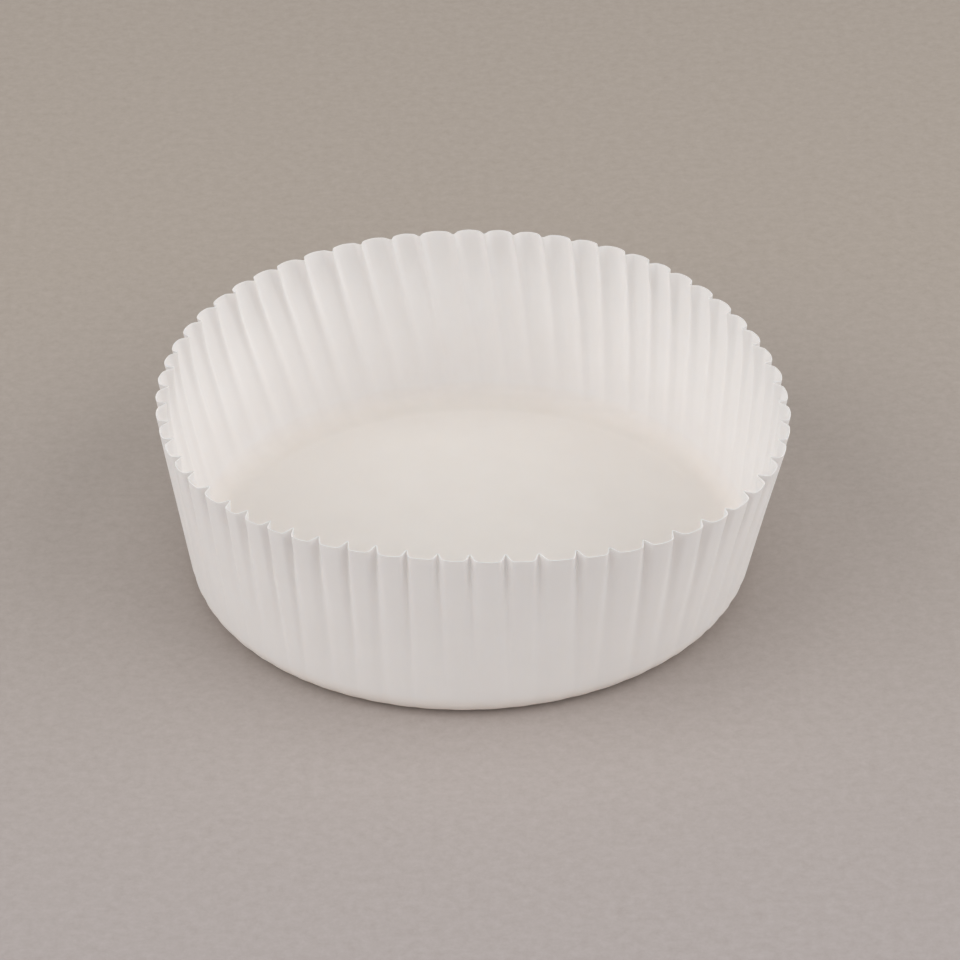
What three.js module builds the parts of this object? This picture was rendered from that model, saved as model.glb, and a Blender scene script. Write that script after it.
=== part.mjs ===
// Fluted paper baking cup, pressed from one round sheet of white paper.
// Millimetres, +Z up. The origin is the centre of the underside, which rests on the table.
//
// The flat middle of the sheet is the base. The sheet turns up through a round bend into a wall
// that leans outwards. Round the wall the sheet runs in waves: at each flute it dips into the cup in
// a narrow fold, and between two folds it swells into a broad round lobe. The folds start where the
// base ends, deepen steadily and are deepest at the rim.
import * as THREE from "three";

// Driving dimensions
const RIM_DIAMETER = 100; // over the lobes, in the middle of the paper
const BASE_DIAMETER = 90; // where the wall's straight line meets the table
const HEIGHT = 31.5; // from the table to the rim of a lobe
const BEND_RADIUS = 4; // where the base turns up into the wall, in the middle of the paper
const PAPER = 0.2; // thickness of the sheet
const FLUTES = 60; // folds round the wall
const FOLD_DEPTH = 1.7; // how far a fold's crease stands into the cup at the rim
const FOLD_SHARPNESS = 3; // 1 is an even wave, and more makes the folds narrower than the lobes

// How finely the sheet is cut
const WAVE_POINTS = 12; // points to a flute where the folds are deep
const BEND_POINTS = 4; // points to a flute where the bend's folds are still shallow
const BASE_POINTS = 2; // points to a flute round the flat base
const SHALLOW_LEVELS = 2; // levels in the bend with shallow folds
const FOLDED_LEVELS = 2; // levels above those, up to the foot of the straight wall

// The meridian that a lobe follows: flat base, bend, straight wall
const rimRadius = RIM_DIAMETER / 2;
const baseRadius = BASE_DIAMETER / 2;
const wallAngle = Math.atan2(HEIGHT, rimRadius - baseRadius);
const flatRadius = baseRadius - BEND_RADIUS * Math.tan(wallAngle / 2);
const bendLength = BEND_RADIUS * wallAngle;
const bendRise = BEND_RADIUS * (1 - Math.cos(wallAngle));
const wallLength = (HEIGHT - PAPER / 2 - bendRise) / Math.sin(wallAngle);
const sheetRadius = flatRadius + bendLength + wallLength;

// The meridian's radius, height and climb, at a distance along the sheet from its centre.
function meridianAt(along) {
  const pastFlat = Math.max(along - flatRadius, 0);
  const climb = Math.min(pastFlat / BEND_RADIUS, wallAngle);
  const upWall = Math.max(pastFlat - bendLength, 0);
  const radius = Math.min(along, flatRadius) + BEND_RADIUS * Math.sin(climb);
  const height = PAPER / 2 + BEND_RADIUS * (1 - Math.cos(climb));
  return {
    radius: radius + upWall * Math.cos(wallAngle),
    height: height + upWall * Math.sin(wallAngle),
    climb,
  };
}

// A point in the middle of the paper, at an angle round the cup and a distance along the sheet.
function sheetPoint(angle, along) {
  const { radius, height, climb } = meridianAt(along);
  const pastFlat = Math.max(along - flatRadius, 0);
  const creaseDepth = (FOLD_DEPTH * pastFlat) / (sheetRadius - flatRadius);
  const wave = (1 + Math.cos(FLUTES * angle)) / 2; // 1 at a crease, 0 in the middle of a lobe
  const inwards = creaseDepth * wave ** FOLD_SHARPNESS;
  const r = radius - inwards * Math.sin(climb);
  const z = height + inwards * Math.cos(climb);
  return new THREE.Vector3(r * Math.cos(angle), r * Math.sin(angle), z);
}

// The same point on the sheet's outer face (side 1) or its inner face (side -1).
function facePoint(angle, along, side) {
  const step = 1e-4;
  const outwards = new THREE.Vector3(0, 0, -1);
  if (along > flatRadius) {
    const round = sheetPoint(angle + step, along).sub(sheetPoint(angle - step, along));
    const up = sheetPoint(angle, along).sub(sheetPoint(angle, along - step));
    outwards.crossVectors(round, up).normalize();
  }
  return sheetPoint(angle, along).addScaledVector(outwards, (side * PAPER) / 2);
}

// The angles of a level's points. Every flute has the same number, and one lies on its crease.
function levelAngles(pointsToAFlute) {
  const count = FLUTES * pointsToAFlute;
  return Array.from({ length: count }, (_, i) => (2 * Math.PI * i) / count);
}

// The levels from the base's edge to the rim. The wall above the bend is straight, so it needs one
// level at its foot and one at its rim.
function sheetLevels() {
  const levels = [{ along: flatRadius, angles: levelAngles(BASE_POINTS) }];
  const bendLevels = SHALLOW_LEVELS + FOLDED_LEVELS;
  for (let i = 1; i <= bendLevels; i++) {
    const along = flatRadius + (bendLength * i) / bendLevels;
    const angles = levelAngles(i <= SHALLOW_LEVELS ? BEND_POINTS : WAVE_POINTS);
    levels.push({ along, angles });
  }
  levels.push({ along: sheetRadius, angles: levelAngles(WAVE_POINTS) });
  return levels;
}

// Triangles between two rings of points that run the same way round, whatever their counts.
function stitch(lower, upper, flip, triangles) {
  const lowerCount = lower.angles.length;
  const upperCount = upper.angles.length;
  const angleAt = (ring, i) =>
    i < ring.angles.length ? ring.angles[i] : ring.angles[i - ring.angles.length] + 2 * Math.PI;
  let i = 0;
  let j = 0;
  while (i < lowerCount || j < upperCount) {
    const lowerNext = i < lowerCount ? angleAt(lower, i + 1) : Infinity;
    const upperNext = j < upperCount ? angleAt(upper, j + 1) : Infinity;
    const a = lower.first + (i % lowerCount);
    const b = upper.first + (j % upperCount);
    const alongLower = lowerNext <= upperNext;
    if (alongLower) i += 1;
    else j += 1;
    const c = alongLower ? lower.first + (i % lowerCount) : upper.first + (j % upperCount);
    triangles.push(...(flip ? [a, b, c] : [a, c, b]));
  }
}

// One face of the sheet, from its centre to its edge. Returns the ring at the edge.
function addFace(side, vertices, triangles) {
  const inner = side < 0;
  const centre = vertices.push(facePoint(0, 0, side)) - 1;
  let below = null;
  for (const { along, angles } of sheetLevels()) {
    const ring = { angles, first: vertices.length };
    vertices.push(...angles.map((angle) => facePoint(angle, along, side)));
    if (below) stitch(below, ring, inner, triangles);
    else addFan(centre, ring, inner, triangles);
    below = ring;
  }
  return below;
}

function addFan(centre, ring, flip, triangles) {
  const count = ring.angles.length;
  for (let i = 0; i < count; i++) {
    const here = ring.first + i;
    const next = ring.first + ((i + 1) % count);
    triangles.push(...(flip ? [centre, here, next] : [centre, next, here]));
  }
}

// The whole sheet: its two faces, joined along the cut edge at the rim.
function cupGeometry() {
  const vertices = [];
  const triangles = [];
  const outerRim = addFace(1, vertices, triangles);
  const innerRim = addFace(-1, vertices, triangles);
  stitch(outerRim, innerRim, false, triangles);

  const geometry = new THREE.BufferGeometry().setFromPoints(vertices);
  geometry.setIndex(triangles);
  geometry.computeVertexNormals();
  return geometry;
}

const paper = new THREE.MeshStandardMaterial({
  color: new THREE.Color().setRGB(0.91, 0.89, 0.88, THREE.SRGBColorSpace),
  roughness: 0.85,
  metalness: 0,
});

const cup = new THREE.Mesh(cupGeometry(), paper);
cup.name = "fluted_cup";

const group = new THREE.Group();
group.add(cup);

export default group;
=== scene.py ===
import math
import random

import bpy
import numpy as np
from mathutils import Matrix, Vector


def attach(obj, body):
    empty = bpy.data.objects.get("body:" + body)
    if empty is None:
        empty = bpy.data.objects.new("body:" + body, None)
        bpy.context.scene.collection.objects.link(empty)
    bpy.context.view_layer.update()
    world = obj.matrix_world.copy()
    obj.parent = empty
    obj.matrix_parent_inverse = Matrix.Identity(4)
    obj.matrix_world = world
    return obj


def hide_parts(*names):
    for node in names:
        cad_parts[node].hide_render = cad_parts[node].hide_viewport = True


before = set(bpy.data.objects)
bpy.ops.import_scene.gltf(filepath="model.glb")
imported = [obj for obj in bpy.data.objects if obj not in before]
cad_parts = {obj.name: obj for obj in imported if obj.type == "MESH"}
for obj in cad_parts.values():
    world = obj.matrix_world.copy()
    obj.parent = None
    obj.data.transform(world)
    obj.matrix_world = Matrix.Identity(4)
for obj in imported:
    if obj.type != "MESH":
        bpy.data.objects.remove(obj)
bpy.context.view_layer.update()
scene = bpy.context.scene
rng = random.Random(11)

# The cup's sizes, in metres, as the CAD has them, apart from the paper, which is nearer a real one's
RIM_RADIUS = 0.050  # over the lobes, in the middle of the paper
BASE_RADIUS = 0.045  # where the wall's straight line meets the table
HEIGHT = 0.0315  # from the table to the rim of a lobe
BEND_RADIUS = 0.004  # where the base turns up into the wall
PAPER = 0.00012  # thickness of the sheet
FLUTES = 60  # folds round the wall
FOLD_DEPTH = 0.0017  # how far a fold's crease stands into the cup at the rim

# The section of a flute: a narrow crease between lobes that are rounded by a share of its depth,
# more at the back than at the front. Towards the foot the creases fade and spread. A share of the
# depth goes quickly, close to the rim, as a power of the height, and the rest evenly.
RIM_SHARPNESS = 8.5
FOOT_SHARPNESS = 1.5
LOBE_ROUNDING = 0.21
BACK_ROUNDING = 0.13  # added at the back and taken off at the front
QUICK_SHARE = 0.6
QUICK_POWER = 6

# Pressed paper is never quite even. The rim is out of round in broad waves, each with the number
# of its crests, how far they stand out and where one lies, in degrees from +X.
RIM_WAVES = ((1, 0.00106, -24), (2, 0.0018, -30), (3, 0.0011, -38), (4, 0.0007, -43))
FOOT_WAVES = ((1, 0.0006, 258),)  # the base lies a little off the rim's centre

# The folds stand unevenly round the wall in the same way: crests, degrees round and where
FOLD_TURN = 1.3  # degrees that all of them are turned
FOLD_WAVES = ((1, 1.75, 142), (3, 0.45, 54), (4, 0.9, 29))

# How far round the foot of a fold lies from its top, for folds at some places round the cup, all in
# degrees. Most at the back left.
LEAN_PLACES = (0, 60, 90, 130, 180, 235, 270, 310, 360)
LEANS = (-2, -3.5, -6.5, -8, -3, 1.5, 0, 0.8, -2)

# How much one fold or lobe differs from the next
PLACE_SPREAD = 0.0035  # radians round the cup
DEPTH_SPREAD = 0.09  # a share of the depth
SHARPNESS_SPREAD = 0.15  # a share of the sharpness
LEAN_SPREAD = 0.006  # radians round the cup
SWELL_SPREAD = 0.00006  # metres outwards, in the middle of a lobe

# How finely the sheet is cut
WAVE_POINTS = 24  # points to a flute
CREASE_CROWDING = 0.6  # how far a flute's points crowd towards its creases, below 1
BEND_STEPS = 8
WALL_STEPS = 16
BASE_RINGS = 4
SHARP_EDGE = math.radians(50)  # an edge that turns more than this isn't smoothed over

# The paper is white with a faint cloudiness. Low down, where it lies on the table, a painted warm cast
# stands for the table's light coming through the thin paper, and darkens it a little. Here and for
# the floor, a noise's scale is in waves to a metre, and each of its two colours comes after the
# level of the noise, from 0 to 1, where it starts or ends.
PAPER_ROUGHNESS = 0.8
PAPER_SPECULAR = 0.3
GLOW_SCALE = 0.00028  # how far light travels inside the paper, in metres
GLOW_RADIUS = (1, 0.95, 0.9)  # the same for red, green and blue, as shares of it
CLOUD_SCALE = 120
CLOUD_DETAIL = 4
CLOUD_DARK = (0.3, (0.835, 0.81, 0.795))
CLOUD_LIGHT = (0.7, (0.855, 0.83, 0.815))
PAINTED_CAST_FULL_BELOW = 0.0003  # paper lower than this has the whole of the painted cast of the table's light
PAINTED_CAST_NONE_ABOVE = 0.004  # paper higher than this has none of it
# A painted warm cast: the table's light coming through the thin paper at the base, which also darkens
# it a little
PAINTED_TABLE_CAST = (1, 0.935, 0.88)
NO_PAINTED_CAST = (1, 1, 1)
FIBRE_SCALE = 1800
FIBRE_DETAIL = 3
FIBRE_STRENGTH = 0.15
FIBRE_HEIGHT = 0.00005  # metres

# The floor is a pale warm grey with a fine grain. Its colour is painted a little bluer at the front
# and warmer at the back, for cooler light from the front and warmer light from behind.
FLOOR_SIZE = 3  # metres
FLOOR_ROUGHNESS = 0.9
FLOOR_SPECULAR = 0.2
GRAIN_SCALE = 550
GRAIN_DETAIL = 8
GRAIN_ROUGHNESS = 0.8
GRAIN_DARK = (0.35, (0.425, 0.370, 0.328))
GRAIN_LIGHT = (0.65, (0.483, 0.428, 0.386))
# Painted light: a cooler cast at the front and a warmer one at the back, with where each is full
PAINTED_LIGHT_FRONT_Y = -0.11
PAINTED_LIGHT_BACK_Y = 0.09
PAINTED_COOL_LIGHT = (0.98, 0.995, 1.07)
PAINTED_WARM_LIGHT = (0.99, 0.98, 0.955)

# Soft lamps that face the cup: where each stands, its width and height in metres, and its watts
LAMPS = {
    "left": ((-0.73, -0.30, 0.62), (1.1, 0.9), 5.0),
    "right": ((0.77, -0.24, 0.57), (1.1, 0.9), 5.1),
    "front": ((0, -0.9, 0.45), (0.8, 0.5), 1.1),
    "top": ((0, 0.1, 1.0), (0.7, 0.7), 1.9),
}
WORLD_COLOUR = (1, 1, 1, 1)
WORLD_STRENGTH = 0.27

# The camera stands where the photograph's did, with the same small roll
CAMERA_PLACE = Vector((0, -0.6545, 0.4600))
CAMERA_AIM = Vector((0.0018, -0.0009, 0.0145))
CAMERA_ROLL = math.radians(1.5)
LENS = 183.45  # focal length in millimetres
SENSOR_WIDTH = 36  # millimetres

# The meridian that a lobe follows: flat base, bend, straight wall
TURN = 2 * math.pi
WALL_ANGLE = math.atan2(HEIGHT, RIM_RADIUS - BASE_RADIUS)
FLAT_RADIUS = BASE_RADIUS - BEND_RADIUS * math.tan(WALL_ANGLE / 2)
BEND_LENGTH = BEND_RADIUS * WALL_ANGLE
BEND_RISE = BEND_RADIUS * (1 - math.cos(WALL_ANGLE))
WALL_LENGTH = (HEIGHT - PAPER / 2 - BEND_RISE) / math.sin(WALL_ANGLE)
SHEET_RADIUS = FLAT_RADIUS + BEND_LENGTH + WALL_LENGTH


def draws(average, spread):
    """One random number for each fold or lobe."""
    return np.array([average + rng.gauss(0, spread) for _ in range(FLUTES)])


fold_shift = draws(0, PLACE_SPREAD)
fold_scale = draws(1, DEPTH_SPREAD)
fold_narrowness = draws(1, SHARPNESS_SPREAD)
fold_lean = draws(0, LEAN_SPREAD)
lobe_out = draws(0, SWELL_SPREAD)


def waves_at(angle, waves):
    """The sum of some broad waves round the cup, at an angle or at many."""
    return sum(size * np.cos(crests * (angle - math.radians(at))) for crests, size, at in waves)


def fold_angle(i, up):
    """The angle of fold i at a share of the way up the sheet, from the base's edge to the rim."""
    even = TURN * i / FLUTES
    uneven = math.radians(FOLD_TURN + waves_at(even, FOLD_WAVES))
    lean = fold_lean[i] + math.radians(np.interp(math.degrees(even), LEAN_PLACES, LEANS))
    return even + uneven + fold_shift[i] + lean * (1 - up)


def meridian(along):
    """Radius, height and climb of the middle of the paper, a way from the centre along the sheet."""
    past = max(along - FLAT_RADIUS, 0)
    climb = min(past / BEND_RADIUS, WALL_ANGLE)
    straight = max(past - BEND_LENGTH, 0)
    radius = min(along, FLAT_RADIUS) + BEND_RADIUS * math.sin(climb) + straight * math.cos(WALL_ANGLE)
    height = PAPER / 2 + BEND_RADIUS * (1 - math.cos(climb)) + straight * math.sin(WALL_ANGLE)
    return radius, height, climb


def fold_inwards(place, angle, up):
    """How far the sheet stands into the cup, at places counted in folds round it."""
    fold = np.rint(place).astype(int) % FLUTES
    lobe = np.floor(place).astype(int)
    wave = (1 + np.cos(TURN * place)) / 2  # 1 at a crease, 0 in the middle of a lobe
    fade = QUICK_SHARE * up ** QUICK_POWER + (1 - QUICK_SHARE) * up
    sharpness = (FOOT_SHARPNESS + (RIM_SHARPNESS - FOOT_SHARPNESS) * fade) * fold_narrowness[fold]
    rounding = LOBE_ROUNDING + BACK_ROUNDING * np.sin(angle)
    section = rounding * wave + (1 - rounding) * wave ** sharpness
    swell = lobe_out[lobe] * (1 - wave)
    return FOLD_DEPTH * fold_scale[fold] * section * fade - swell * up


def ring(along):
    """One level of the sheet: the middle of the paper, at every point of every flute."""
    radius, height, climb = meridian(along)
    up = max(along - FLAT_RADIUS, 0) / (SHEET_RADIUS - FLAT_RADIUS)
    even = np.arange(FLUTES * WAVE_POINTS) / WAVE_POINTS
    place = even - CREASE_CROWDING * np.sin(TURN * even) / TURN
    creases = [fold_angle(i, up) for i in range(FLUTES)]
    creases.append(creases[0] + TURN)
    angle = np.interp(place, np.arange(FLUTES + 1), creases)
    inwards = fold_inwards(place, angle, up)
    spread = up * waves_at(angle, RIM_WAVES) + (1 - up) * waves_at(angle, FOOT_WAVES)
    r = radius + spread - inwards * math.sin(climb)
    z = height + inwards * math.cos(climb)
    return np.stack((r * np.cos(angle), r * np.sin(angle), z), axis=1)


def sheet_levels():
    """Distances along the sheet from its centre, from the first ring of the base to the rim."""
    base = [FLAT_RADIUS * (k / BASE_RINGS) for k in range(1, BASE_RINGS + 1)]
    bend = [FLAT_RADIUS + BEND_LENGTH * k / BEND_STEPS for k in range(1, BEND_STEPS + 1)]
    wall = [FLAT_RADIUS + BEND_LENGTH + WALL_LENGTH * k / WALL_STEPS for k in range(1, WALL_STEPS + 1)]
    return base + bend + wall


def outward_normals(rings):
    """Unit vectors out of the cup, at every point of the middle of the paper."""
    around = np.roll(rings, -1, axis=1) - np.roll(rings, 1, axis=1)
    upward = np.empty_like(rings)
    upward[1:-1] = rings[2:] - rings[:-2]
    upward[0] = rings[1] - rings[0]
    upward[-1] = rings[-1] - rings[-2]
    outward = np.cross(around, upward)
    return outward / np.linalg.norm(outward, axis=2, keepdims=True)


def band(lower, upper, count):
    """The faces between two rings of vertices, each ring given by its first one."""
    faces = []
    for k in range(count):
        n = (k + 1) % count
        faces.append((lower + k, lower + n, upper + n, upper + k))
    return faces


def outer_faces(centre, first, levels, count):
    """The faces of one side of the sheet, turned outwards, from its centre to its cut edge."""
    faces = [(centre, first + (k + 1) % count, first + k) for k in range(count)]
    for level in range(levels - 1):
        lower = first + level * count
        faces += band(lower, lower + count, count)
    return faces


def cup_mesh():
    """The sheet's two faces, set half the paper's thickness either side of its middle."""
    rings = np.array([ring(along) for along in sheet_levels()])
    levels, count, _ = rings.shape
    outward = outward_normals(rings)
    outer = rings + outward * PAPER / 2
    inner = rings - outward * PAPER / 2
    outer[:BASE_RINGS, :, 2] = 0  # the underside is flat on the table

    centres = [(0, 0, 0), (0, 0, PAPER)]  # of the outer face and of the inner one
    vertices = centres + [tuple(p) for p in (*outer.reshape(-1, 3), *inner.reshape(-1, 3))]
    first_outer = len(centres)
    first_inner = first_outer + levels * count
    to_rim = (levels - 1) * count

    faces = outer_faces(0, first_outer, levels, count)
    faces += [face[::-1] for face in outer_faces(1, first_inner, levels, count)]
    faces += band(first_outer + to_rim, first_inner + to_rim, count)

    mesh = bpy.data.meshes.new("fluted_cup_paper")
    mesh.from_pydata(vertices, [], faces)
    mesh.update()
    mesh.shade_smooth()
    mesh.set_sharp_from_angle(angle=SHARP_EDGE)
    return mesh


# A colour mix node's sockets go by number, because its other kinds have sockets of the same names
MIX_FIRST = 6
MIX_SECOND = 7
MIX_RESULT = 2


def noise(tree, place, scale, detail):
    """A noise texture over object coordinates."""
    node = tree.nodes.new("ShaderNodeTexNoise")
    node.inputs["Scale"].default_value = scale
    node.inputs["Detail"].default_value = detail
    tree.links.new(place, node.inputs["Vector"])
    return node


def ramp(tree, value, low, high):
    """The colour at a value, between two that are each given as a position and a colour."""
    node = tree.nodes.new("ShaderNodeValToRGB")
    for element, (position, colour) in zip(node.color_ramp.elements, (low, high)):
        element.position = position
        element.color = (*colour, 1)
    tree.links.new(value, node.inputs["Fac"])
    return node.outputs["Color"]


def blend_along(tree, place, axis, start, end):
    """A colour that turns into another along an axis. Each end is a coordinate and a colour."""
    split = tree.nodes.new("ShaderNodeSeparateXYZ")
    tree.links.new(place, split.inputs["Vector"])
    share = tree.nodes.new("ShaderNodeMapRange")
    share.inputs["From Min"].default_value = start[0]
    share.inputs["From Max"].default_value = end[0]
    tree.links.new(split.outputs[axis], share.inputs["Value"])
    blend = tree.nodes.new("ShaderNodeMix")
    blend.data_type = "RGBA"
    blend.inputs[MIX_FIRST].default_value = (*start[1], 1)
    blend.inputs[MIX_SECOND].default_value = (*end[1], 1)
    tree.links.new(share.outputs["Result"], blend.inputs["Factor"])
    return blend.outputs[MIX_RESULT]


def multiplied(tree, first, second):
    """One colour times another."""
    node = tree.nodes.new("ShaderNodeMix")
    node.data_type = "RGBA"
    node.blend_type = "MULTIPLY"
    node.inputs["Factor"].default_value = 1
    tree.links.new(first, node.inputs[MIX_FIRST])
    tree.links.new(second, node.inputs[MIX_SECOND])
    return node.outputs[MIX_RESULT]


def paper_material():
    """White paper that lets a little light through, with a fine fibre."""
    material = bpy.data.materials.new("white_paper")
    material.use_nodes = True
    tree = material.node_tree
    shader = tree.nodes["Principled BSDF"]
    shader.inputs["Roughness"].default_value = PAPER_ROUGHNESS
    shader.inputs["Specular IOR Level"].default_value = PAPER_SPECULAR
    shader.inputs["Subsurface Weight"].default_value = 1
    shader.inputs["Subsurface Scale"].default_value = GLOW_SCALE
    shader.inputs["Subsurface Radius"].default_value = GLOW_RADIUS
    place = tree.nodes.new("ShaderNodeTexCoord").outputs["Object"]

    cloud = noise(tree, place, CLOUD_SCALE, CLOUD_DETAIL)
    tint = ramp(tree, cloud.outputs["Fac"], CLOUD_DARK, CLOUD_LIGHT)
    # Painted light at the base: the table's warm light through the paper, laid on as a tint of the
    # colour
    painted_base_cast = blend_along(tree, place, "Z", (PAINTED_CAST_FULL_BELOW, PAINTED_TABLE_CAST), (PAINTED_CAST_NONE_ABOVE, NO_PAINTED_CAST))
    tree.links.new(multiplied(tree, tint, painted_base_cast), shader.inputs["Base Color"])

    fibre = noise(tree, place, FIBRE_SCALE, FIBRE_DETAIL)
    bump = tree.nodes.new("ShaderNodeBump")
    bump.inputs["Strength"].default_value = FIBRE_STRENGTH
    bump.inputs["Distance"].default_value = FIBRE_HEIGHT
    tree.links.new(fibre.outputs["Fac"], bump.inputs["Height"])
    tree.links.new(bump.outputs["Normal"], shader.inputs["Normal"])
    return material


def floor_material():
    """A matt grained surface."""
    material = bpy.data.materials.new("floor")
    material.use_nodes = True
    tree = material.node_tree
    shader = tree.nodes["Principled BSDF"]
    shader.inputs["Roughness"].default_value = FLOOR_ROUGHNESS
    shader.inputs["Specular IOR Level"].default_value = FLOOR_SPECULAR
    place = tree.nodes.new("ShaderNodeTexCoord").outputs["Object"]

    grain = noise(tree, place, GRAIN_SCALE, GRAIN_DETAIL)
    grain.inputs["Roughness"].default_value = GRAIN_ROUGHNESS
    tint = ramp(tree, grain.outputs["Fac"], GRAIN_DARK, GRAIN_LIGHT)
    # Painted light over the floor's grain: cooler at the front, warmer at the back
    painted_light_cast = blend_along(tree, place, "Y", (PAINTED_LIGHT_FRONT_Y, PAINTED_COOL_LIGHT), (PAINTED_LIGHT_BACK_Y, PAINTED_WARM_LIGHT))
    tree.links.new(multiplied(tree, tint, painted_light_cast), shader.inputs["Base Color"])
    return material


def area_lamp(name, place, size, power):
    """A soft rectangular lamp that faces the origin."""
    light = bpy.data.lights.new(name, "AREA")
    light.shape = "RECTANGLE"
    light.size, light.size_y = size
    light.energy = power
    lamp = bpy.data.objects.new(name, light)
    lamp.location = place
    lamp.rotation_euler = (-Vector(place)).to_track_quat("-Z", "Y").to_euler()
    scene.collection.objects.link(lamp)


def add_camera():
    """The camera, aimed and rolled as the photograph's was."""
    camera = bpy.data.objects.new("camera", bpy.data.cameras.new("camera"))
    camera.data.sensor_width = SENSOR_WIDTH
    camera.data.lens = LENS
    look = (CAMERA_AIM - CAMERA_PLACE).to_track_quat("-Z", "Y").to_matrix().to_4x4()
    roll = Matrix.Rotation(-CAMERA_ROLL, 4, "Z")
    camera.matrix_world = Matrix.Translation(CAMERA_PLACE) @ look @ roll
    scene.collection.objects.link(camera)
    scene.camera = camera


# The cup, which stands in for the CAD's node
cup = bpy.data.objects.new("fluted_cup_paper", cup_mesh())
scene.collection.objects.link(cup)
cup.data.materials.append(paper_material())
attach(cup, "root")
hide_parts("fluted_cup")

# The floor it stands on
bpy.ops.mesh.primitive_plane_add(size=FLOOR_SIZE, location=(0, 0, 0))
floor = bpy.context.object
floor.name = "floor"
floor.data.materials.append(floor_material())

# The studio's light and camera
for name, (place, size, power) in LAMPS.items():
    area_lamp(name, place, size, power)

world = bpy.data.worlds.new("studio")
scene.world = world
world.use_nodes = True
background = world.node_tree.nodes["Background"]
background.inputs["Color"].default_value = WORLD_COLOUR
background.inputs["Strength"].default_value = WORLD_STRENGTH

add_camera()
scene.view_settings.view_transform = "Standard"
